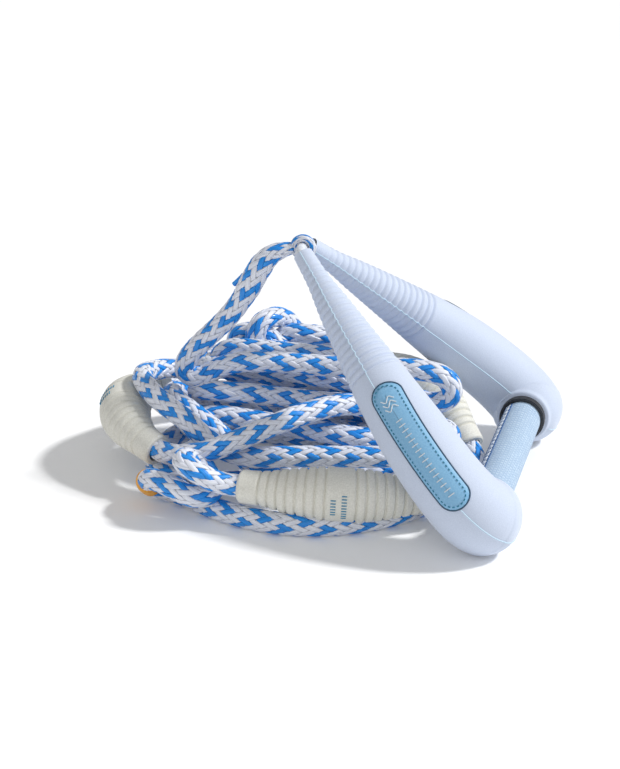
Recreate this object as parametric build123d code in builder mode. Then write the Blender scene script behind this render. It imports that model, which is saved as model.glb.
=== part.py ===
from build123d import *
from math import cos, degrees, pi, radians, sin, tan
import os

# Surf tow rope with a tilted V handle, lying on a floor.
# Origin: floor level, under the middle of the handle's box. +Y runs along the grip bar,
# -X towards the apex and the rope heap, +Z up. Millimetres.

# ---- handle
bar_half_span = 106.8  # from the middle of the bar to the centre of an arm's ball end
arm_end_radius = 28.0
apex_reach = 216.0  # from the bar's axis to the hinge of the bridle in the rope's eye
handle_tilt = 44.3  # slope of the handle's plane, degrees
arm_controls = [(10.2, 212.5), (39, 168), (137.7, 25.5), (bar_half_span, 0)]  # (along bar, to apex)
arm_radii = [7.2, 8.8, 12.2, 16.7, 21.5, 25.2, 26.4, 27.6]
arm_places = [0, 0.1, 0.2, 0.35, 0.52, 0.7, 0.85, 1]
cover_thickness = 2.2
seam_at_apex = 2.0  # height of the cover's seam above the arms' mid-plane
seam_at_bar = 6.0
seam_width = 1.6
seam_height = 0.7
patch_middle = (101.0, 60.0, 8.0)  # (along bar, to apex, above the mid-plane)
patch_length = 104.0
patch_width = 21.0
patch_thickness = 1.0
patch_slant = 22.0  # degrees, the patch's own turn to follow the arm

# ---- grip bar
tube_radius = 11.0
tube_bore = 9.5
tube_half_length = 102.0
sleeve_radius = 14.6
sleeve_half_length = 84.9
plug_depth = 11.0
plug_flange = 1.5
bush_radius = 17.5
bush_inner_face = 78.6
bush_shoulder = 85.5
bush_outer_face = 104.0
running_gap = 0.3

# ---- bridle, a thin rope through both arms and the bar
bridle_radius = 4.0
bridle_knot_radius = 8.2
bridle_knot_place = 81.2
bridle_route = [(81.2, 0), (118, 0), (119, 36), (95, 80), (60, 135), (30, 180), (9.5, apex_reach)]
bridle_corner_radii = [15, 40, 90, 120, 60, 5]

# ---- main rope
rope_radius = 8.0
eye_ring_radius = 7.0
eye_cord_radius = 2.9
eye_throat_radius = 2.6
throat_reach = 14.6  # from the hinge to the throat's end

lead_route = [  # from the eye's throat to the fold at the heap's top left
    (-98.6, 0, 176.5),
    (-110, 0, 171),
    (-119.5, 0, 157.5),
    (-129, 0, 138),
    (-144, 0, 117.5),
    (-163, 0, 99),
    (-176, 0, 84),
    (-178, 0, 66),
]
heap_base = [(-70, -4), (122, 116)]  # middle, and half-axes of the ellipse on the floor
heap_top = [(-88, 46), (80, 48)]
heap_height = 82.0
heap_lumps = [  # middle and radius of the knots and folds that stand out of the heap
    ((-125, 73, 78), 25),  # knot on top
    ((-176, -4, 54), 23),  # fold under the lead
    ((-192, 4, 60), 18),  # turns over the left float
    ((-140, -104, 30), 24),  # knot before the front float
    ((8, 16, 70), 24),  # knot on the right
    ((-158, -66, 36), 20),  # strands leaving the left float
    ((-174, 72, 34), 27),  # strands entering the left float
]
marker_place = [(-176.5, -93, 23), (-178.7, -86.5, 18), (-176.5, -80, 13)]
marker_thickness = 1.6

# ---- floats, foam spindles that slide along the rope
float_places = [0, 0.1, 0.28, 0.43, 0.57, 0.72, 0.9, 1]
float_radii = [12, 12.6, 17, 19.5, 19.5, 17, 12.6, 12]
float_gap = 0.6  # between a float's bore and the rope in it
float_travel = 5.0  # slide each way along the rope's own curve
float_run_out = 6.0  # rope beyond a float's travel at each end
pocket_gap = 1.2
floats = {  # start, middle and end of each float's axis
    "left": [(-178.5, -64, 34), (-223.5, -7, 42), (-215.5, 62, 36)],
    "front": [(-104, -103, 30), (-31, -96, 28), (34, -70, 23)],
    "back": [(40, 20, 26), (6, 52, 50), (-50, 92, 59)],
}

handle_slope = radians(handle_tilt)
bar_x = (apex_reach * cos(handle_slope) + throat_reach - arm_end_radius) / 2
bar_z = arm_end_radius
handle_plane = Plane((bar_x, 0, bar_z), (0, 1, 0), (sin(handle_slope), 0, cos(handle_slope)))
bar_plane = Plane((bar_x, 0, bar_z), (1, 0, 0), (0, 1, 0))
apex = handle_plane.from_local_coords(Vector(0, apex_reach, 0))

os.makedirs("parts", exist_ok=True)
print("bar_x", bar_x, "apex", apex.X, apex.Z)


def save(part, label):
    """Write a finished piece under its label."""
    part.label = label
    export_step(part, f"parts/{label}.step")


def arm_form(skin):
    """The far arm's form grown by skin all round: a loft along its axis with a ball end."""
    with BuildLine(handle_plane) as axis:
        Bezier(*arm_controls)
    edge = axis.edges()[0]
    with BuildPart() as form:
        for place, radius in zip(arm_places, arm_radii):
            with BuildSketch(Plane(edge @ place, z_dir=edge % place)):
                Circle(radius + skin)
        loft()
        with Locations(handle_plane.from_local_coords(Vector(bar_half_span, 0, 0))):
            Sphere(arm_end_radius + skin)
    return form.part


def route_radii(points):
    """The largest arc for each corner: 0.45 of the shorter run over the tangent of half the turn."""
    vectors = [Vector(*point) for point in points]
    runs = [after - before for before, after in zip(vectors, vectors[1:])]
    return [
        0.45 * min(one.length, two.length) / tan(radians(one.get_angle(two)) / 2)
        for one, two in zip(runs, runs[1:])
    ]


def tube_along(path, radius):
    """A round cord of one radius along a path."""
    with BuildPart() as cord:
        with BuildSketch(Plane(path @ 0, z_dir=path % 0)):
            Circle(radius)
        sweep(path=path)
    return cord.part


def arc_through(points):
    """The circular arc through three points."""
    with BuildLine() as line:
        ThreePointArc(*points)
    return line.wires()[0]


def spindle(path, extra, overrun=0.0):
    """A float's outer form along its arc, grown by extra all round and by overrun at each end."""
    with BuildPart() as form:
        for place, radius in zip(float_places, float_radii):
            station = place + overrun * (2 * place - 1)
            with BuildSketch(Plane(path @ station, z_dir=path % station)):
                Circle(radius + extra)
        loft()
    return form.part


# ================================================================ grip bar
with BuildPart() as grip_tube:
    with BuildSketch(bar_plane):
        Circle(tube_radius)
        Circle(tube_bore, mode=Mode.SUBTRACT)
    extrude(amount=tube_half_length, both=True)
save(grip_tube.part, "grip_tube")

with BuildPart() as grip_sleeve:
    with BuildSketch(bar_plane):
        Circle(sleeve_radius)
        Circle(tube_radius, mode=Mode.SUBTRACT)
    extrude(amount=sleeve_half_length, both=True)
save(grip_sleeve.part, "grip_sleeve")

with BuildPart() as end_plug_far:
    with BuildSketch(bar_plane.offset(tube_half_length - plug_depth)):
        Circle(tube_bore)
        Circle(bridle_radius + running_gap, mode=Mode.SUBTRACT)
    extrude(amount=plug_depth)
    with BuildSketch(bar_plane.offset(tube_half_length)):
        Circle(tube_radius)
        Circle(bridle_radius + running_gap, mode=Mode.SUBTRACT)
    extrude(amount=plug_flange)
save(end_plug_far.part, "end_plug_far")
save(mirror(end_plug_far.part, about=Plane.XZ), "end_plug_near")

# ================================================================ bridle
half_route = [handle_plane.from_local_coords(Vector(p, q, 0)) for p, q in bridle_route]
whole_route = half_route + [Vector(v.X, -v.Y, v.Z) for v in reversed(half_route)]
whole_radii = bridle_corner_radii + bridle_corner_radii[::-1]
with BuildLine() as bridle_line:
    FilletPolyline(*whole_route, radius=whole_radii)
bridle_wire = bridle_line.wires()[0]
bridle_form = tube_along(bridle_wire, bridle_radius)
with BuildPart() as bridle_knot_far:
    with Locations(bar_plane.from_local_coords(Vector(0, 0, bridle_knot_place))):
        Sphere(bridle_knot_radius)
save(bridle_knot_far.part, "bridle_knot_far")
bridle_knot_near = mirror(bridle_knot_far.part, about=Plane.XZ)
save(bridle_knot_near, "bridle_knot_near")
with BuildPart() as bridle_rope:
    add(bridle_form)
    add(bridle_knot_far.part, mode=Mode.SUBTRACT)
    add(bridle_knot_near, mode=Mode.SUBTRACT)
save(bridle_rope.part, "bridle_rope")

# ================================================================ arms
outer_form = arm_form(0)
inner_form = arm_form(-cover_thickness)
with BuildPart() as socket_room:
    with BuildSketch(bar_plane.offset(bush_inner_face - 12)):
        Circle(bush_radius)
    extrude(amount=bush_outer_face - bush_inner_face + 12)
    with BuildSketch(bar_plane.offset(bush_outer_face)):
        Circle(tube_radius + 1)
    extrude(amount=4)

with BuildPart() as bar_bush_far:
    with BuildSketch(bar_plane.offset(bush_inner_face)):
        Circle(bush_radius)
        Circle(sleeve_radius + 2 * running_gap, mode=Mode.SUBTRACT)
    extrude(amount=bush_shoulder - bush_inner_face)
    with BuildSketch(bar_plane.offset(bush_shoulder)):
        Circle(bush_radius)
        Circle(tube_radius + running_gap, mode=Mode.SUBTRACT)
    extrude(amount=bush_outer_face - bush_shoulder)
save(bar_bush_far.part, "bar_bush_far")
save(mirror(bar_bush_far.part, about=Plane.XZ), "bar_bush_near")

with BuildPart() as foam_core_far:
    add(inner_form)
    add(socket_room.part, mode=Mode.SUBTRACT)
    add(bridle_form, mode=Mode.SUBTRACT)
save(foam_core_far.part, "foam_core_far")
save(mirror(foam_core_far.part, about=Plane.XZ), "foam_core_near")

with BuildPart() as whole_cover:
    add(outer_form)
    add(inner_form, mode=Mode.SUBTRACT)
    add(socket_room.part, mode=Mode.SUBTRACT)
    add(bridle_form, mode=Mode.SUBTRACT)
seam_middle = handle_plane.from_local_coords(Vector(0, apex_reach / 2, (seam_at_apex + seam_at_bar) / 2))
seam_across = handle_plane.y_dir * apex_reach + handle_plane.z_dir * (seam_at_apex - seam_at_bar)
seam_plane = Plane(seam_middle, (0, 1, 0), Vector(0, 1, 0).cross(seam_across))
for name, keep in (("cover_top", Keep.TOP), ("cover_bottom", Keep.BOTTOM)):
    with BuildPart() as cover:
        add(whole_cover.part)
        split(bisect_by=seam_plane, keep=keep)
    save(cover.part, f"{name}_far")
    save(mirror(cover.part, about=Plane.XZ), f"{name}_near")

# the patch lies on the arm's outer side, centred on the seam
patch_centre = handle_plane.from_local_coords(Vector(*patch_middle))
patch_turn = radians(patch_slant)
patch_along = handle_plane.y_dir * cos(patch_turn) - handle_plane.x_dir * sin(patch_turn)
patch_plane = Plane(patch_centre, patch_along, patch_along.cross(handle_plane.z_dir))
with BuildPart() as patch_room:
    with BuildSketch(patch_plane):
        SlotOverall(patch_length, patch_width)
    extrude(amount=40)
with BuildPart() as label_patch_far:
    add(arm_form(patch_thickness))
    add(outer_form, mode=Mode.SUBTRACT)
    add(patch_room.part, mode=Mode.INTERSECT)
save(label_patch_far.part, "label_patch_far")
save(mirror(label_patch_far.part, about=Plane.XZ), "label_patch_near")

with BuildPart() as seam_slab:
    with BuildSketch(seam_plane.offset(-seam_width / 2)):
        Rectangle(600, 600)
    extrude(amount=seam_width)
with BuildPart() as seam_piping_far:
    add(arm_form(seam_height))
    add(outer_form, mode=Mode.SUBTRACT)
    add(seam_slab.part, mode=Mode.INTERSECT)
    add(patch_room.part, mode=Mode.SUBTRACT)
    add(socket_room.part, mode=Mode.SUBTRACT)
    add(bridle_form, mode=Mode.SUBTRACT)
save(seam_piping_far.part, "seam_piping_far")
save(mirror(seam_piping_far.part, about=Plane.XZ), "seam_piping_near")

# ================================================================ rope eye and lead
with BuildPart() as rope_eye:
    with BuildSketch(Plane((apex.X, 0, apex.Z), (1, 0, 0), (0, 0, 1))):
        with Locations((eye_ring_radius, 0)):
            Circle(eye_cord_radius)
    revolve(axis=Axis((apex.X, 0, apex.Z), (0, 1, 0)))
    with BuildSketch(Plane((apex.X - eye_ring_radius, 0, apex.Z), (0, 1, 0), (-1, 0, 0))):
        Circle(eye_throat_radius)
    with BuildSketch(Plane(lead_route[0], (0, 1, 0), Vector(*lead_route[1]) - Vector(*lead_route[0]))):
        Circle(rope_radius)
    loft()
    add(bridle_form, mode=Mode.SUBTRACT)
save(rope_eye.part, "rope_eye")

lead_radii = route_radii(lead_route)
print("rope_lead radii", [round(radius) for radius in lead_radii])
with BuildLine() as lead_line:
    FilletPolyline(*lead_route, radius=lead_radii)
lead_wire = lead_line.wires()[0]
lead_form = tube_along(lead_wire, rope_radius)
lead_section = pi * rope_radius**2
print("rope_lead volume over section times length", lead_form.volume / (lead_section * lead_wire.length))
with BuildPart() as rope_lead:
    add(lead_form)
    add(rope_eye.part, mode=Mode.SUBTRACT)
save(rope_lead.part, "rope_lead")

# ================================================================ floats and the rope in them
heap_pockets = []
for side, points in floats.items():
    curve = arc_through(points).edges()[0]
    turn_axis = (curve % 0).cross(curve % 1).normalized()
    travel_angle = degrees(float_travel / curve.radius)
    print(f"float_{side} turns about", curve.arc_center, turn_axis, "by", travel_angle)
    around = Axis(curve.arc_center, turn_axis)
    run_out = travel_angle + degrees(float_run_out / curve.radius)
    start = Vertex(*(curve @ 0)).rotate(around, -run_out).center()
    end = Vertex(*(curve @ 1)).rotate(around, run_out).center()
    cord_arc = arc_through([start, curve @ 0.5, end])
    rope_in_float = tube_along(cord_arc, rope_radius)
    save(rope_in_float, f"rope_in_float_{side}")
    bore = tube_along(cord_arc, rope_radius + float_gap)
    with BuildPart() as foam_float:
        add(spindle(curve, 0))
        add(bore, mode=Mode.SUBTRACT)
    save(foam_float.part, f"float_{side}")
    heap_pockets.append(bore)
    heap_pockets.append(spindle(curve, pocket_gap, float_travel / curve.length))

# ================================================================ the heap of rope turns
marker_band = tube_along(arc_through(marker_place), rope_radius + marker_thickness)
save(marker_band, "marker_band")
with BuildPart() as rope_coil:
    for z, (middle, half_axes) in ((0, heap_base), (heap_height, heap_top)):
        with BuildSketch(Plane((*middle, z))):
            Ellipse(*half_axes)
    loft()
    for middle, radius in heap_lumps:
        with Locations(middle):
            Sphere(radius, rotation=(0, 90, 0))
    add(heap_pockets + [lead_form, marker_band], mode=Mode.SUBTRACT)
save(rope_coil.part, "rope_coil")
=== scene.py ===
import math

import bpy
import numpy as np
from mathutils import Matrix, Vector
from mathutils.bvhtree import BVHTree


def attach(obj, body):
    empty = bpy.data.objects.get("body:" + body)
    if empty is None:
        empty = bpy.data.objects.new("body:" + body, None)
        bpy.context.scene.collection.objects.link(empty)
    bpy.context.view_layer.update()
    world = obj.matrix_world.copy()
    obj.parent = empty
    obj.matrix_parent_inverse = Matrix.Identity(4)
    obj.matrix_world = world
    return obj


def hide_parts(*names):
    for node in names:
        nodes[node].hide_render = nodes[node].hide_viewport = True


# Surf tow rope with a V handle: the looks around the CAD frame. Metres, in the CAD frame:
# origin on the floor, +Y along the grip bar, -X towards the rope heap, +Z up.

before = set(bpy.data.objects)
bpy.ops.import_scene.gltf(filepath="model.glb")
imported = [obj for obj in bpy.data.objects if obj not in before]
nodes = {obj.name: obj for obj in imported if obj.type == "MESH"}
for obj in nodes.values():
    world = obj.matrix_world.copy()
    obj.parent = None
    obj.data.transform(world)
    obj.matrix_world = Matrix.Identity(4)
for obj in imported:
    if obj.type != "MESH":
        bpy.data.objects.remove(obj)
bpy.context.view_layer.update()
scene = bpy.context.scene

# ---------------------------------------------------------------- camera
camera_data = bpy.data.cameras.new("camera")
camera_data.lens = 93.6
camera_data.sensor_width = 36
camera = bpy.data.objects.new("camera", camera_data)
scene.collection.objects.link(camera)
camera.location = (0.2639, -1.3599, 0.6012)
turn, drop = math.radians(14.15), math.radians(20.67)
looking = Vector((-math.sin(turn) * math.cos(drop), math.cos(turn) * math.cos(drop), -math.sin(drop)))
camera.rotation_euler = looking.to_track_quat("-Z", "Y").to_euler()
scene.camera = camera


# ---------------------------------------------------------------- small helpers
def material(name, low, high, scale, roughness, bump=0.2, depth=0.0003, stretch=(1, 1, 1), coords="Object",
             sheen=0.0, coat=0.0, metallic=0.0, glow=0.0):
    """A noise-mottled surface between two colours, with fine relief from the same noise."""
    made = bpy.data.materials.new(name)
    made.use_nodes = True
    tree, links = made.node_tree.nodes, made.node_tree.links
    shader = tree["Principled BSDF"]
    place = tree.new("ShaderNodeTexCoord")
    mapping = tree.new("ShaderNodeMapping")
    mapping.inputs["Scale"].default_value = stretch
    links.new(place.outputs[coords], mapping.inputs["Vector"])
    noise = tree.new("ShaderNodeTexNoise")
    noise.inputs["Scale"].default_value = scale
    noise.inputs["Detail"].default_value = 5
    links.new(mapping.outputs["Vector"], noise.inputs["Vector"])
    ramp = tree.new("ShaderNodeValToRGB")
    ramp.color_ramp.elements[0].position = 0.32
    ramp.color_ramp.elements[1].position = 0.68
    ramp.color_ramp.elements[0].color = (*low, 1)
    ramp.color_ramp.elements[1].color = (*high, 1)
    links.new(noise.outputs["Fac"], ramp.inputs["Fac"])
    links.new(ramp.outputs["Color"], shader.inputs["Base Color"])
    relief = tree.new("ShaderNodeBump")
    relief.inputs["Strength"].default_value = bump
    relief.inputs["Distance"].default_value = depth
    links.new(noise.outputs["Fac"], relief.inputs["Height"])
    links.new(relief.outputs["Normal"], shader.inputs["Normal"])
    shader.inputs["Roughness"].default_value = roughness
    shader.inputs["Sheen Weight"].default_value = sheen
    shader.inputs["Coat Weight"].default_value = coat
    shader.inputs["Metallic"].default_value = metallic
    shader.inputs["Emission Color"].default_value = (1, 1, 1, 1)
    shader.inputs["Emission Strength"].default_value = glow
    return made


def mesh_piece(name, vertices, faces, materials, face_materials=None, uvs=None):
    """A smooth-shaded mesh object linked to the scene; uvs holds one (u, v) per vertex."""
    data = bpy.data.meshes.new(name)
    data.from_pydata(np.asarray(vertices, float).tolist(), [], np.asarray(faces, int).tolist())
    for one in materials:
        data.materials.append(one)
    if face_materials is not None:
        data.polygons.foreach_set("material_index", np.asarray(face_materials, np.int32))
    data.polygons.foreach_set("use_smooth", np.ones(len(data.polygons), bool))
    if uvs is not None:
        layer = data.uv_layers.new(name="UVMap")
        corners = np.zeros(len(data.loops), np.int32)
        data.loops.foreach_get("vertex_index", corners)
        layer.data.foreach_set("uv", np.asarray(uvs, np.float32)[corners].ravel())
    data.update()
    made = bpy.data.objects.new(name, data)
    scene.collection.objects.link(made)
    return made


def cord_piece(name, lines, radius, one_material, closed=False):
    """Thin round cords or stitches, each line a list of points."""
    data = bpy.data.curves.new(name, "CURVE")
    data.dimensions = "3D"
    data.bevel_depth = radius
    data.bevel_resolution = 2
    data.use_fill_caps = True
    for points in lines:
        spline = data.splines.new("POLY")
        spline.points.add(len(points) - 1)
        for point, at in zip(spline.points, points):
            point.co = (*at, 1)
        spline.use_cyclic_u = closed
    data.materials.append(one_material)
    made = bpy.data.objects.new(name, data)
    scene.collection.objects.link(made)
    return made


def unit(v):
    """The vectors scaled to length 1."""
    return v / np.linalg.norm(v, axis=-1, keepdims=True)


def smooth_through(x, places, values):
    """A monotone cubic through the given values."""
    places, values = np.asarray(places, float), np.asarray(values, float)
    gaps, slopes = np.diff(places), np.diff(values) / np.diff(places)
    tangents = np.zeros(len(values))
    same = slopes[:-1] * slopes[1:] > 0
    tangents[1:-1][same] = 2 * slopes[:-1][same] * slopes[1:][same] / (slopes[:-1] + slopes[1:])[same]
    tangents[0], tangents[-1] = slopes[0], slopes[-1]
    x = np.clip(np.asarray(x, float), places[0], places[-1])
    k = np.clip(np.searchsorted(places, x, "right") - 1, 0, len(gaps) - 1)
    t = (x - places[k]) / gaps[k]
    return (
        values[k] * (1 + 2 * t) * (1 - t) ** 2
        + gaps[k] * tangents[k] * t * (1 - t) ** 2
        + values[k + 1] * t * t * (3 - 2 * t)
        - gaps[k] * tangents[k + 1] * t * t * (1 - t)
    )


def grid_faces(rows, columns, around=True):
    """Quads of a grid of rows x columns of vertices, closed round the columns if around."""
    r, c = np.meshgrid(np.arange(rows - 1), np.arange(columns if around else columns - 1), indexing="ij")
    r, c = r.ravel(), c.ravel()
    n = (c + 1) % columns
    return np.stack([r * columns + c, r * columns + n, (r + 1) * columns + n, (r + 1) * columns + c], 1)


# ---------------------------------------------------------------- colours and finishes
rope_white = material("rope_white", (0.64, 0.69, 0.82), (0.93, 0.94, 0.98), 3, 0.42, 0.6, 0.0004,
                      stretch=(0.5, 0.8, 1), coords="UV", coat=0.15)
rope_blue = material("rope_blue", (0.003, 0.18, 0.66), (0.012, 0.36, 0.94), 3, 0.36, 0.6, 0.0004,
                     stretch=(0.5, 0.8, 1), coords="UV", coat=0.2)
foam_beige = material("foam_beige", (0.70, 0.69, 0.62), (0.82, 0.81, 0.74), 900, 0.78, 0.35, 0.0003)
ink_teal = material("ink_teal", (0.04, 0.22, 0.38), (0.06, 0.30, 0.48), 700, 0.6)
fabric_pale = material("fabric_pale", (0.53, 0.60, 0.74), (0.60, 0.67, 0.81), 1400, 0.72, 0.3, 0.0003,
                       sheen=0.3)
piping_blue = material("piping_blue", (0.50, 0.66, 0.78), (0.58, 0.74, 0.85), 1200, 0.6)
patch_blue = material("patch_blue", (0.20, 0.44, 0.68), (0.26, 0.52, 0.75), 900, 0.5, 0.25, 0.0002)
patch_dark = material("patch_dark", (0.03, 0.07, 0.13), (0.05, 0.11, 0.18), 900, 0.5)
stitch_teal = material("stitch_teal", (0.02, 0.16, 0.27), (0.04, 0.26, 0.38), 2500, 0.6)
motif_pale = material("motif_pale", (0.62, 0.68, 0.72), (0.78, 0.82, 0.84), 1500, 0.4)
plastic_black = material("plastic_black", (0.012, 0.013, 0.016), (0.03, 0.03, 0.035), 500, 0.45)
bridle_white = material("bridle_white", (0.62, 0.66, 0.74), (0.84, 0.87, 0.92), 700, 0.5, 0.5, 0.0005)
aluminium = material("aluminium", (0.55, 0.56, 0.58), (0.68, 0.69, 0.7), 300, 0.35, metallic=1.0)
tape_orange = material("tape_orange", (0.80, 0.33, 0.02), (0.90, 0.45, 0.05), 500, 0.45)
seam_thread = material("seam_thread", (0.70, 0.80, 0.92), (0.84, 0.90, 0.97), 2200, 0.5)
seam_navy = material("seam_navy", (0.03, 0.10, 0.30), (0.06, 0.18, 0.42), 2200, 0.5)


# ---------------------------------------------------------------- the rope's route
def circle_points(start, middle, end, count):
    """Points along the circle through three points."""
    p, q, r = (np.array(v, float) for v in (start, middle, end))
    a, b = p - r, q - r
    c = np.cross(a, b)
    centre = r + np.cross((a @ a) * b - (b @ b) * a, c) / (2 * c @ c)
    radius = np.linalg.norm(p - centre)
    x = (p - centre) / radius
    normal = unit(np.cross(p - centre, r - centre))
    if np.cross(p - centre, q - centre) @ normal < 0:
        normal = -normal
    y = np.cross(normal, x)
    sweep = math.atan2((r - centre) @ y, (r - centre) @ x) % (2 * math.pi)
    return [centre + radius * (math.cos(t) * x + math.sin(t) * y) for t in np.linspace(0, sweep, count)]


half_knot = [  # half of an overhand knot, in knot sizes: across, along the rope, up
    (0.1, -2.5, 0), (0.2, -1.3, -0.05), (-0.1, -0.35, 0.45), (-0.8, 0.35, 0.55),
    (-0.95, 1.0, -0.15), (-0.25, 1.3, -1.05), (0.75, 1.0, -1.15), (1.2, 0.3, -0.5),
]


def overhand(middle, along, up, size):
    """Control points of an overhand knot, pulled along a direction."""
    along = unit(np.array(along, float))
    up = np.array(up, float)
    up = unit(up - (up @ along) * along)
    side = np.cross(along, up)
    whole = half_knot + [(x, -y, -z) for x, y, z in reversed(half_knot)]
    return [np.array(middle) + size * (x * up + y * along + z * side) for x, y, z in whole]


float_axes = {
    "left": [(-0.1785, -0.064, 0.034), (-0.2235, -0.007, 0.042), (-0.2155, 0.062, 0.036)],
    "front": [(-0.104, -0.103, 0.030), (-0.031, -0.096, 0.028), (0.034, -0.070, 0.023)],
    "back": [(0.040, 0.020, 0.026), (0.006, 0.052, 0.050), (-0.050, 0.092, 0.059)],
}
through = {side: circle_points(*axis, 5)[::-1] for side, axis in float_axes.items()}

route = [
    # from the eye down to the fold at the heap's top left
    (-0.091, 0, 0.1780), (-0.0986, 0, 0.1765), (-0.110, 0, 0.171), (-0.1195, 0, 0.1575), (-0.129, 0, 0.138),
    (-0.144, 0, 0.1175), (-0.163, 0, 0.099), (-0.176, 0, 0.084),
    (-0.178, 0, 0.072), (-0.164, 0.002, 0.068), (-0.150, 0.003, 0.080),
    # across the top, round under the handle and back
    (-0.128, 0.005, 0.085), (-0.097, 0.008, 0.085), (-0.060, 0.008, 0.085), (-0.028, 0.008, 0.087),
    (0.004, 0.008, 0.089), (0.024, 0.008, 0.085), (0.029, 0.010, 0.070), (0.016, 0.012, 0.060),
    (-0.010, 0.020, 0.062), (-0.058, 0.025, 0.068), (-0.110, 0.027, 0.072), (-0.146, 0.028, 0.070),
    (-0.166, 0.034, 0.066), (-0.177, 0.048, 0.064), (-0.170, 0.063, 0.066), (-0.157, 0.069, 0.071),
    # the knot on top, then the back float
    *overhand((-0.125, 0.072, 0.083), (1, 0.15, 0), (0, 0.3, 1), 0.0120),
    (-0.086, 0.084, 0.082), (-0.066, 0.094, 0.072),
    *through["back"],
    (0.054, 0, 0.014), (0.058, -0.026, 0.009), (0.054, -0.052, 0.013),
    *through["front"],
    # the hitch before the front float and the marked bend
    (-0.119, -0.108, 0.033), (-0.132, -0.113, 0.041), (-0.147, -0.107, 0.046), (-0.148, -0.090, 0.043),
    (-0.133, -0.086, 0.033), (-0.124, -0.096, 0.021), (-0.136, -0.109, 0.019), (-0.156, -0.108, 0.027),
    (-0.172, -0.100, 0.028), (-0.181, -0.086, 0.018), (-0.172, -0.074, 0.008),
    # along the floor in front, round and back to the left float
    (-0.152, -0.080, 0.008), (-0.126, -0.098, 0.008), (-0.092, -0.110, 0.008), (-0.060, -0.112, 0.008),
    (-0.026, -0.101, 0.008), (0.008, -0.074, 0.008), (0.030, -0.036, 0.008), (0.032, 0.006, 0.008),
    (0.014, 0.046, 0.008), (-0.022, 0.078, 0.008), (-0.070, 0.098, 0.008), (-0.120, 0.104, 0.008),
    (-0.165, 0.102, 0.014), (-0.198, 0.088, 0.028),
    *through["left"],
    # the turns of the heap, outer ones first
    (-0.158, -0.080, 0.038), (-0.132, -0.084, 0.046), (-0.107, -0.070, 0.056), (-0.076, -0.044, 0.065),
    (-0.048, -0.014, 0.066), (-0.028, 0.006, 0.054), (-0.016, 0.028, 0.042), (-0.036, 0.056, 0.040),
    (-0.084, 0.076, 0.046), (-0.150, 0.076, 0.050), (-0.190, 0.062, 0.054), (-0.214, 0.028, 0.062),
    (-0.212, -0.004, 0.068), (-0.190, -0.034, 0.064), (-0.160, -0.052, 0.056), (-0.138, -0.062, 0.042),
    (-0.112, -0.066, 0.036), (-0.073, -0.056, 0.037), (-0.036, -0.050, 0.038), (-0.004, -0.042, 0.038),
    (0.022, -0.027, 0.039), (0.033, -0.010, 0.044), (0.022, 0.006, 0.046), (0.002, 0.014, 0.038),
    (-0.016, 0.032, 0.024), (-0.050, 0.058, 0.026), (-0.100, 0.066, 0.032), (-0.150, 0.056, 0.038),
    (-0.178, 0.038, 0.044), (-0.192, 0.014, 0.052), (-0.184, -0.012, 0.056), (-0.160, -0.030, 0.052),
    (-0.132, -0.044, 0.040), (-0.106, -0.052, 0.020), (-0.072, -0.042, 0.018), (-0.036, -0.034, 0.018),
    (-0.004, -0.024, 0.018), (0.014, -0.004, 0.012), (0.010, 0.022, 0.008), (-0.014, 0.046, 0.008),
    (-0.060, 0.074, 0.010), (-0.110, 0.084, 0.014), (-0.152, 0.070, 0.016), (-0.182, 0.038, 0.014),
    (-0.198, 0.002, 0.012), (-0.194, -0.034, 0.010), (-0.172, -0.056, 0.008), (-0.140, -0.058, 0.008),
    (-0.108, -0.036, 0.008), (-0.070, -0.008, 0.009), (-0.036, 0.010, 0.008), (-0.020, 0.024, 0.008),
    (-0.030, 0.044, 0.008), (-0.062, 0.052, 0.008), (-0.084, 0.052, 0.008), (-0.122, 0.050, 0.008),
    (-0.152, 0.040, 0.010), (-0.174, 0.018, 0.016), (-0.176, 0, 0.030), (-0.162, -0.012, 0.042),
    (-0.146, -0.012, 0.046), (-0.110, -0.014, 0.044), (-0.068, -0.019, 0.043),
    (-0.040, -0.022, 0.042), (-0.020, -0.012, 0.038), (-0.018, 0.008, 0.030), (-0.044, 0.030, 0.024),
    (-0.090, 0.044, 0.022), (-0.126, 0.044, 0.028), (-0.156, 0.028, 0.040), (-0.171, 0.014, 0.050),
    (-0.168, 0.001, 0.060), (-0.148, -0.004, 0.062), (-0.112, 0.006, 0.058), (-0.080, 0.007, 0.056),
    (-0.056, 0.008, 0.056),
    # the tow end, inside the heap
    (-0.036, 0.022, 0.052), (-0.028, 0.040, 0.058), (-0.040, 0.046, 0.072), (-0.070, 0.042, 0.081),
    (-0.104, 0.041, 0.081), (-0.136, 0.042, 0.081), (-0.157, 0.045, 0.079), (-0.167, 0.050, 0.067),
    (-0.158, 0.055, 0.055), (-0.138, 0.056, 0.053), (-0.108, 0.056, 0.055), (-0.074, 0.053, 0.055),
    (-0.050, 0.050, 0.052),
]

guide_data = bpy.data.curves.new("route", "CURVE")
guide_data.dimensions = "3D"
guide_data.resolution_u = 16
guide = guide_data.splines.new("NURBS")
guide.points.add(len(route) - 1)
for point, at in zip(guide.points, route):
    point.co = (*at, 1)
guide.order_u = 3
guide.use_endpoint_u = True
guide_object = bpy.data.objects.new("route", guide_data)
scene.collection.objects.link(guide_object)
line_mesh = bpy.data.meshes.new_from_object(guide_object)
rope_line = np.array([v.co for v in line_mesh.vertices], float)
bpy.data.objects.remove(guide_object)


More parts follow.
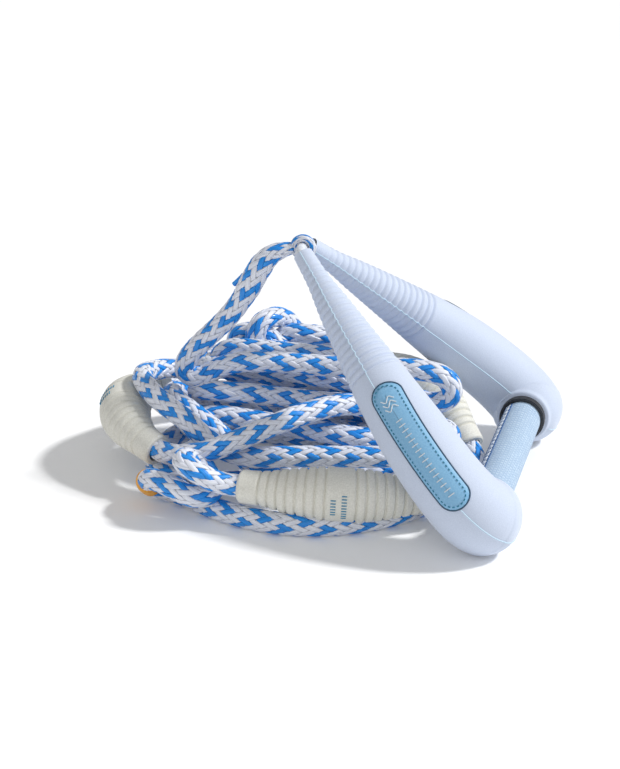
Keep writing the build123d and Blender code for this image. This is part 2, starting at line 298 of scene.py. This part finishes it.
class Line:
    """A path with frames that turn as little as possible along it."""

    def __init__(self, points, step=0.001):
        points = np.asarray(points, float)
        keep = np.concatenate([[True], np.linalg.norm(np.diff(points, axis=0), axis=1) > 1e-7])
        points = points[keep]
        run = np.concatenate([[0], np.cumsum(np.linalg.norm(np.diff(points, axis=0), axis=1))])
        self.length = run[-1]
        self.places = np.linspace(0, self.length, max(3, int(self.length / step)))
        self.points = np.stack([np.interp(self.places, run, points[:, k]) for k in range(3)], 1)
        tangents = unit(np.gradient(self.points, axis=0))
        side = np.cross(tangents[0], (0.0, 1.0, 0.01))
        sides = np.empty_like(tangents)
        for k, tangent in enumerate(tangents):
            side = side - (side @ tangent) * tangent
            side = side / np.linalg.norm(side)
            sides[k] = side
        self.tangents, self.sides, self.ups = tangents, sides, np.cross(tangents, sides)

    def at(self, place, angle, radius):
        """Points at distances along the path, angles round it and distances from it."""
        def pick(table):
            return np.stack([np.interp(place, self.places, table[:, k]) for k in range(3)], -1)

        out = np.cos(angle)[..., None] * pick(self.sides) + np.sin(angle)[..., None] * pick(self.ups)
        return pick(self.points) + radius[..., None] * out

    def nearest(self, point):
        """The distance along the path at which it passes closest to a point."""
        return self.places[np.argmin(np.linalg.norm(self.points - np.array(point), axis=1))]


# ---------------------------------------------------------------- the braid
wall_radius = 0.0074  # from the rope's axis to the middle of its wall
braid_pitch = 0.114  # length of one turn of a strand
strands_each_way = 12
strand_half_width = 0.0020
strand_flatness = 1.6  # how long a strand stays level over or under the others
# a strand's section, each point as across in half widths and height in metres
strand_ring = [(-1, 0.0), (-0.5, 0.00035), (0.5, 0.00035), (1, 0.0), (0.5, -0.00030), (-0.5, -0.00030)]
blue_strands = (0, 3, 6, 9)


def braid(name, line, thickness, step=0.0022, weave=0.00042):
    """A hollow braid of 24 flat strands, over two and under two, round a path.
    thickness gives the rope's scale at each place, 1 for the plain rope."""
    count = int(line.length / step) + 1
    place = np.linspace(0, line.length, count)
    scale = thickness(place)
    middle = wall_radius * scale
    vertices, faces, colours, uvs, base = [], [], [], [], 0
    ring_faces = grid_faces(count, len(strand_ring))
    for way in (1, -1):
        for k in range(strands_each_way):
            turns = place / braid_pitch
            wave = np.cos(math.pi / 2 * (2 * k + way * 2 * strands_each_way * turns - 0.5))
            wave = way * np.tanh(strand_flatness * wave) / math.tanh(strand_flatness)
            angle = way * 2 * math.pi * turns + 2 * math.pi * k / strands_each_way
            slope = np.arctan2(2 * math.pi * middle, braid_pitch)
            rows = []
            for across, height in strand_ring:
                offset = across * strand_half_width * scale
                rows.append(line.at(
                    np.clip(place - way * np.sin(slope) * offset, 0, line.length),
                    angle + np.cos(slope) * offset / middle,
                    middle + (wave * weave + height) * scale,
                ))
            vertices.append(np.stack(rows, 1).reshape(-1, 3))
            faces.append(ring_faces + base)
            colours.append(np.full(len(ring_faces), int(k in blue_strands)))
            u = np.repeat(place * 100 + 7.3 * k + 3.1 * way, len(strand_ring))
            v = np.tile([r[0] * 2 + 5 * k for r in strand_ring], count)
            uvs.append(np.stack([u, v], 1))
            base += count * len(strand_ring)
    return mesh_piece(name, np.concatenate(vertices), np.concatenate(faces), [rope_white, rope_blue],
                      face_materials=np.concatenate(colours), uvs=np.concatenate(uvs))


rope_path = Line(rope_line)
splice_start, splice_end = 0.030, 0.056  # along the rope


def rope_scale(s):
    """Slim at the eye's throat, swollen along the splice, then the plain rope."""
    swell = 0.5 + 0.62 * smooth_through(s, [0, 0.010, splice_start], [0, 0.45, 1])
    return np.where(s < splice_start, swell, 1 + 0.12 / (1 + np.exp((s - splice_end) / 0.002)))


rope = braid("rope", rope_path, rope_scale)
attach(rope, "rope")
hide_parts("rope_lead", "rope_coil", "rope_in_float_left", "rope_in_float_front", "rope_in_float_back")

# the eye: the rope opened into a snug ring round the bridle
apex = np.array((-0.0839948, 0, 0.1788577))
eye_radius, eye_scale = 0.0070, 0.36
ring_turns = np.linspace(math.pi, 3 * math.pi, 49)
ring = [apex + eye_radius * np.array((math.cos(t), 0, math.sin(t))) for t in ring_turns]
eye = braid("eye", Line(ring, 0.0005), lambda s: np.full_like(s, eye_scale), step=0.0010)
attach(eye, "rope")
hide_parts("rope_eye")

# the tucked tail of the splice
tail_at = rope_path.nearest((-0.127, 0, 0.143))
tail_line = rope_path.at(tail_at + np.linspace(-0.008, 0.004, 6), np.full(6, math.radians(200)),
                         np.linspace(0.0085, 0.0118, 6))
tail = cord_piece("splice_tail", [tail_line.tolist()], 0.0019, rope_blue)
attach(tail, "rope")

# the marker band
band_middle = rope_path.nearest((-0.1785, -0.0865, 0.018))
band_half_length = 0.008
band_radius = np.array([0.0079, 0.0088, 0.0090, 0.0089, 0.0091, 0.0089, 0.0090,
                        0.0091, 0.0089, 0.0091, 0.0090, 0.0088, 0.0079])
band_rows, band_around = len(band_radius), 32
band_places = np.linspace(band_middle - band_half_length, band_middle + band_half_length, band_rows)
band_angles = np.linspace(0, 2 * math.pi, band_around + 1)[:-1]
band_points = rope_path.at(np.repeat(band_places, band_around), np.tile(band_angles, band_rows),
                           np.repeat(band_radius, band_around))
band = mesh_piece("marker", band_points, grid_faces(band_rows, band_around), [tape_orange])
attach(band, "rope")
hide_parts("marker_band")

# ---------------------------------------------------------------- the floats
float_length = 0.150
float_places = [0, 0.1, 0.28, 0.43, 0.57, 0.72, 0.9, 1]
float_radii = [0.0119, 0.0126, 0.017, 0.0195, 0.0195, 0.017, 0.0126, 0.0119]
float_bore_radius = 0.0086
first_groove, groove_pitch, grooves_each_end = 0.0157, 0.0069, 8
groove_depth, groove_width = 0.0019, 0.00085
groove_places = [first_groove + groove_pitch * k for k in range(grooves_each_end)]
groove_places = np.array(groove_places + [float_length - g for g in groove_places]) / float_length
tick_rows = ((0.455, 6), (0.505, 9))  # place along a float, and how many ticks
tick_spacing = 0.115  # radians
facings = {"left": (-0.5, -0.6, 0.5), "front": (0.1, -1, -0.1), "back": (0.6, -0.2, 0.6)}  # the ticks' side


def float_profile(t):
    """Outer radius along a float, with its grooves, eased ends and swollen middle."""
    radius = smooth_through(t, float_places, float_radii)
    for groove in groove_places:
        radius = radius - groove_depth * np.exp(-(((t - groove) * float_length) / groove_width) ** 2)
    edge = np.minimum(t, 1 - t) * float_length
    return radius - 0.0009 * np.exp(-(edge / 0.0008) ** 2)


for side, axis in float_axes.items():
    path = Line(circle_points(*axis, 61), 0.0005)
    t = np.linspace(0, 1, 301)
    inner = np.linspace(1, 0, 41)
    place = np.concatenate([t, inner, [0]]) * path.length
    bore = np.full(len(inner), float_bore_radius)
    radius = np.concatenate([float_profile(t), bore, float_profile(np.zeros(1))])
    around = 64
    angles = np.linspace(0, 2 * math.pi, around + 1)[:-1]
    points = path.at(np.repeat(place, around), np.tile(angles, len(place)), np.repeat(radius, around))
    foam = mesh_piece(f"foam_{side}", points, grid_faces(len(place), around), [foam_beige])
    foam.data.set_sharp_from_angle(angle=math.radians(50))
    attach(foam, f"{side}_float")
    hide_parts(f"float_{side}")

    # the printed ticks
    half = len(path.places) // 2
    facing = np.array(facings[side])
    face_angle = math.atan2(facing @ path.ups[half], facing @ path.sides[half])
    ticks = []
    for row, count in tick_rows:
        for k in range(count):
            at = face_angle + (k - (count - 1) / 2) * tick_spacing
            where = np.linspace(row, row + 0.024, 4) * path.length
            ticks.append(path.at(where, np.full(4, at), np.full(4, 0.0193) + 0.0003).tolist())
    marks = cord_piece(f"marks_{side}", ticks, 0.00045, ink_teal)
    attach(marks, f"{side}_float")

# ---------------------------------------------------------------- the arms
slope = math.radians(44.3)
ball_radius = 0.028  # at an arm's end, round the bar
apex_reach = 0.216  # from the bar to the apex
bar_half_span = 0.1068  # from the handle's middle to the middle of a ball end
rib_pitch, rib_share = 0.0058, 0.20
opening_radius = 0.0158  # of the hole in a ball end, round the bar
rim_place, rim_height = 0.0192, 0.0014
bar = np.array((0.0705948, 0, ball_radius))
along_bar = np.array((0, 1.0, 0))
to_apex = np.array((-math.cos(slope), 0, math.sin(slope)))
top_side = np.array((math.sin(slope), 0, math.cos(slope)))
steps = np.linspace(0, 1, 400)[:, None]
control = np.array([(0.0102, 0.2125), (0.039, 0.168), (0.1377, 0.0255), (bar_half_span, 0)])
axis_line = (
    (1 - steps) ** 3 * control[0] + 3 * steps * (1 - steps) ** 2 * control[1]
    + 3 * steps**2 * (1 - steps) * control[2] + steps**3 * control[3]
)
axis_run = np.concatenate([[0], np.cumsum(np.linalg.norm(np.diff(axis_line, axis=0), axis=1))])
arm_length = axis_run[-1]

body = np.linspace(0, 1, 560)
cap = np.linspace(0, math.pi / 2, 41)[1:]
centre = np.stack([np.interp(body * arm_length, axis_run, axis_line[:, k]) for k in range(2)], 1)
heading = unit(np.gradient(centre, axis=0))
arm_radius = smooth_through(body, [0, 0.1, 0.2, 0.35, 0.52, 0.7, 0.85, 1],
                            [0.0072, 0.0088, 0.0122, 0.0167, 0.0215, 0.0252, 0.0264, 0.0276])
rib = np.mod(body * arm_length / rib_pitch, 1) - 0.5
ribbed = np.clip((body - 0.03) / 0.05, 0, 1) * np.clip((0.49 - body) / 0.02, 0, 1)
rib_depth = (0.0008 + 0.0008 * np.clip(body / 0.45, 0, 1)) * ribbed
arm_radius = arm_radius - rib_depth * np.exp(-((rib / rib_share) ** 2))
centre = np.concatenate([centre, centre[-1] + ball_radius * np.sin(cap)[:, None] * heading[-1]])
heading = np.concatenate([heading, np.repeat(heading[-1:], len(cap), 0)])
arm_radius = np.concatenate([arm_radius, ball_radius * np.cos(cap)])
arm_radius[-1] = 0.00001  # keeps the last ring from closing to a point
across = np.stack([-heading[:, 1], heading[:, 0]], 1)
seam_rise = 0.006 - 0.004 * centre[:, 1] / apex_reach  # the seams lie a little above the arms' middle
seam_angle = np.arcsin(np.clip(seam_rise / np.maximum(arm_radius, 0.0001), -0.999, 0.999))


def arm_points(angle, lift=0.0):
    """Points of the far arm's cover with the rolled rim of its opening, and how far each lies from
    the bar's axis. One row of angles for each place along the arm: angle 0 faces outwards and 90
    degrees is the handle's top side."""
    out = (across[:, :1] * along_bar + across[:, 1:] * to_apex)[:, None, :]
    middle = bar + (centre[:, :1] * along_bar + centre[:, 1:] * to_apex)[:, None, :]
    points = middle + (arm_radius + lift)[:, None, None] * (
        np.cos(angle)[..., None] * out + np.sin(angle)[..., None] * top_side)
    from_bar = np.hypot(points[..., 0] - bar[0], points[..., 2] - bar[2])
    rim = rim_height * np.exp(-(((from_bar - rim_place) / rim_height) ** 2)) * (points[..., 1] < 0.1)
    return points + rim[..., None] * unit(points - (bar + bar_half_span * along_bar)), from_bar


def arm_half(name, mirror, top):
    """One half of an arm's cover, open where the grip's bush comes out of it."""
    columns = 72
    share = np.linspace(0, 1, columns)
    low = seam_angle[:, None]
    angle = low + (math.pi - 2 * low) * share if top else math.pi - low + (math.pi + 2 * low) * share
    points, from_bar = arm_points(angle)
    points, from_bar = points.reshape(-1, 3), from_bar.ravel()
    faces = grid_faces(len(centre), columns, around=False)
    inside = (from_bar < opening_radius) & (points[:, 1] < 0.104)
    faces = faces[~inside[faces].all(1)]
    used = np.unique(faces)
    new = np.full(len(points), -1)
    new[used] = np.arange(len(used))
    return mesh_piece(name, points[used] * (1, mirror, 1), new[faces], [fabric_pale])


patch_turn = math.radians(22)
patch_middle = bar + 0.101 * along_bar + 0.060 * to_apex + 0.008 * top_side
patch_along = to_apex * math.cos(patch_turn) - along_bar * math.sin(patch_turn)
patch_out = np.cross(top_side, patch_along)
patch_out = patch_out * np.sign(patch_out @ along_bar)
patch_across = top_side
patch_radius, patch_straight = 0.0105, 0.0415  # of its round ends, and half its straight sides
patch_thickness = 0.0011


def slot_outline(inset, count):
    """Points round a slot of 104 x 21 mm, drawn in by inset."""
    radius, straight = patch_radius - inset, patch_straight
    total = 4 * straight + 2 * math.pi * radius
    made = []
    for d in np.linspace(0, total, count, endpoint=False):
        if d < 2 * straight:
            made.append((-straight + d, -radius))
        elif d < 2 * straight + math.pi * radius:
            a = (d - 2 * straight) / radius
            made.append((straight + radius * math.sin(a), -radius * math.cos(a)))
        elif d < 4 * straight + math.pi * radius:
            made.append((straight - (d - 2 * straight - math.pi * radius), radius))
        else:
            a = (d - 4 * straight - math.pi * radius) / radius
            made.append((-straight - radius * math.sin(a), radius * math.cos(a)))
    return made


def outside_patch(points):
    """Whether each point lies clear of the patch's slot."""
    a, b = (points - patch_middle) @ patch_along, (points - patch_middle) @ patch_across
    past = np.maximum(np.abs(a) - patch_straight, 0)
    facing = (points - patch_middle) @ patch_out > -0.001
    return (np.hypot(past, b) > 0.0108) | ~facing


for end, mirror in (("far", 1), ("near", -1)):
    flip = np.array((1, mirror, 1))
    skins = []
    for half, top in (("top", True), ("bottom", False)):
        skin = arm_half(f"skin_{half}_{end}", mirror, top)
        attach(skin, "handle")
        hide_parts(f"cover_{half}_{end}")
        skins.append(skin)

    # the piping on the outer and inner seams, broken at the patch and at the opening
    runs = []
    for around in (seam_angle, math.pi - seam_angle):
        line, from_bar = (x[:, 0] for x in arm_points(around[:, None], 0.0001))
        clear = outside_patch(line) & ((from_bar > 0.0195) | (line[:, 1] > 0.1))
        run = []
        for ok, point in zip(clear[1:], line[1:]):
            if ok:
                run.append(point * flip)
            elif len(run) > 3:
                runs.append(run)
                run = []
        runs.append(run)
    piping = cord_piece(f"piping_{end}", [run[::2] for run in runs if len(run) > 4], 0.00042, piping_blue)
    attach(piping, "handle")
    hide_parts(f"seam_piping_{end}")

    # the patch on the outer side, with its rim, stitching and motif
    trees = [
        BVHTree.FromPolygons([v.co for v in o.data.vertices], [p.vertices for p in o.data.polygons])
        for o in skins
    ]

    def on_patch(a, b, lift=0.0):
        """The point above the cover at a along and b across the patch."""
        start = Vector((patch_middle + a * patch_along + b * patch_across + 0.06 * patch_out) * flip)
        way = Vector(-patch_out * flip)
        hits = [h for h in (t.ray_cast(start, way) for t in trees) if h[0] is not None]
        hit = min(hits, key=lambda h: h[3])[0]
        return np.array(hit) - lift * np.array(way)

    columns = 60
    ring_points = [slot_outline(inset, columns) for inset in (0.0, 0.0005, 0.004, 0.008, 0.0104)]
    lifts = [-0.0004] + [patch_thickness] * 4
    vertices = [on_patch(a, b, lift) for outline, lift in zip(ring_points, lifts) for a, b in outline]
    faces = grid_faces(len(ring_points), columns)
    patch = mesh_piece(f"patch_{end}", vertices, faces if mirror > 0 else faces[:, ::-1], [patch_blue])
    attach(patch, "handle")
    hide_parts(f"label_patch_{end}")

    edge = [on_patch(a, b, 0.0007) for a, b in slot_outline(-0.0001, 120)]
    rim = cord_piece(f"patch_rim_{end}", [edge], 0.00050, patch_dark, closed=True)
    stitches = slot_outline(0.0022, 288)
    stitch = cord_piece(
        f"patch_stitch_{end}",
        [[on_patch(*stitches[k + j], patch_thickness + 0.0001) for j in range(3)] for k in range(0, 288, 4)],
        0.00042, stitch_teal)
    motif_lift = patch_thickness + 0.0002
    dashes = [
        [on_patch(a, b, motif_lift) for b in np.linspace(-0.0024, 0.0024, 4)]
        for a in np.linspace(-0.041, 0.022, 16)
    ]
    wave_across = np.linspace(-0.0045, 0.0045, 19)
    waves = [
        [on_patch(middle + 0.0016 * math.sin(b / 0.0011), b, motif_lift) for b in wave_across]
        for middle in (0.0324, 0.036, 0.0396)
    ]
    motif = cord_piece(f"patch_motif_{end}", dashes + waves, 0.0004, motif_pale)
    for one in (rim, stitch, motif):
        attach(one, "handle")

# ---------------------------------------------------------------- the grip
grip_material = bpy.data.materials.new("grip_knit")
grip_material.use_nodes = True
tree, links = grip_material.node_tree.nodes, grip_material.node_tree.links
shader = tree["Principled BSDF"]
shader.inputs["Roughness"].default_value = 0.7
place_node = tree.new("ShaderNodeTexCoord")
brick = tree.new("ShaderNodeTexBrick")
brick.inputs["Scale"].default_value = 1.0
brick.inputs["Brick Width"].default_value = 1.0
brick.inputs["Row Height"].default_value = 0.5
brick.inputs["Mortar Size"].default_value = 0.09
brick.inputs["Mortar Smooth"].default_value = 0.6
brick.inputs["Color1"].default_value = (0.46, 0.58, 0.73, 1)
brick.inputs["Color2"].default_value = (0.53, 0.65, 0.78, 1)
brick.inputs["Mortar"].default_value = (0.24, 0.39, 0.58, 1)
links.new(place_node.outputs["UV"], brick.inputs["Vector"])
links.new(brick.outputs["Color"], shader.inputs["Base Color"])
relief = tree.new("ShaderNodeBump")
relief.inputs["Strength"].default_value = 0.5
relief.inputs["Distance"].default_value = 0.0004
relief.invert = True
links.new(brick.outputs["Fac"], relief.inputs["Height"])
links.new(relief.outputs["Normal"], shader.inputs["Normal"])

grip_radius, grip_half_length = 0.0146, 0.0849
rib_spacing, stitch_width = 0.0042, 0.0026
grip_rows, grip_around = 340, 96
y = np.linspace(-grip_half_length, grip_half_length, grip_rows)
angles = np.linspace(0, 2 * math.pi, grip_around + 1)
groove = np.exp(-(((np.mod(y / rib_spacing, 1) - 0.5) / 0.16) ** 2))
radius = grip_radius - 0.00035 * groove
radius[[0, -1]] = grip_radius - 0.001
points = np.stack([
    bar[0] + radius[:, None] * np.cos(angles), np.repeat(y[:, None], grip_around + 1, 1),
    bar[2] + radius[:, None] * np.sin(angles),
], -1).reshape(-1, 3)
uvs = np.stack([
    np.tile(angles * grip_radius / stitch_width, grip_rows), np.repeat(y / rib_spacing, grip_around + 1),
], 1)
sleeve_faces = grid_faces(grip_rows, grip_around + 1, around=False)[:, ::-1]
sleeve = mesh_piece("sleeve", points, sleeve_faces, [grip_material], uvs=uvs)
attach(sleeve, "grip")
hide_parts("grip_sleeve")

# the sewn seam along the grip: a zigzag over rungs and two rails
thread_angle = math.radians(134)
thread_reach = 0.0775


def on_grip(y, around, lift):
    """A point above the grip, around metres from the seam's middle."""
    angle, radius = thread_angle + around / grip_radius, grip_radius + lift
    return (bar[0] + radius * math.cos(angle), y, bar[2] + radius * math.sin(angle))


zigzag_places = np.linspace(-thread_reach, thread_reach, 90)
zigzag = [[on_grip(y, (0.0024 if k % 2 else -0.0024), 0.0004) for k, y in enumerate(zigzag_places)]]
rungs = [[on_grip(y, a, 0.0003) for a in (-0.0032, 0, 0.0032)] for y in np.linspace(-0.077, 0.077, 65)]
rail_places = np.linspace(-thread_reach, thread_reach, 20)
rails = [[on_grip(y, a, 0.0003) for y in rail_places] for a in (-0.0034, 0.0034)]
for name, lines, thickness, thread in (
    ("grip_zigzag", zigzag, 0.00035, seam_thread), ("grip_rungs", rungs, 0.00028, seam_navy),
    ("grip_rails", rails, 0.0003, seam_navy),
):
    one = cord_piece(name, lines, thickness, thread)
    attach(one, "grip")

# ---------------------------------------------------------------- finishes of the kept CAD pieces
finishes = {
    "bar_bush": plastic_black, "bridle_knot": bridle_white,
    "foam_core": foam_beige, "end_plug": plastic_black,
}
for prefix, finish in finishes.items():
    for end in ("far", "near"):
        nodes[f"{prefix}_{end}"].data.materials.clear()
        nodes[f"{prefix}_{end}"].data.materials.append(finish)
for name, finish in (("bridle_rope", bridle_white), ("grip_tube", aluminium)):
    nodes[name].data.materials.clear()
    nodes[name].data.materials.append(finish)

# ---------------------------------------------------------------- floor and light
floor_material = material("floor_white", (0.93, 0.93, 0.93), (0.95, 0.95, 0.95), 3, 0.9, 0.0, glow=0.07)
floor_corners = [(-8, -8, 0), (8, -8, 0), (8, 8, 0), (-8, 8, 0)]
floor = mesh_piece("floor", floor_corners, [(0, 1, 2, 3)], [floor_material])

world = bpy.data.worlds.new("world")
world.use_nodes = True
world.node_tree.nodes["Background"].inputs["Color"].default_value = (0.97, 0.98, 1, 1)
world.node_tree.nodes["Background"].inputs["Strength"].default_value = 0.41
scene.world = world


def light(name, kind, at, energy):
    """A light of a kind at a place, turned towards the heap."""
    data = bpy.data.lights.new(name, kind)
    data.energy = energy
    made = bpy.data.objects.new(name, data)
    made.location = at
    made.rotation_euler = (Vector((-0.05, 0, 0.05)) - Vector(at)).to_track_quat("-Z", "Y").to_euler()
    scene.collection.objects.link(made)
    return data


light("key", "SUN", (1.25, 0.42, 1.45), 2.7).angle = math.radians(7)
light("front", "AREA", (0.3, -1.9, 1.5), 6).size = 1.6
scene.view_settings.view_transform = "Standard"
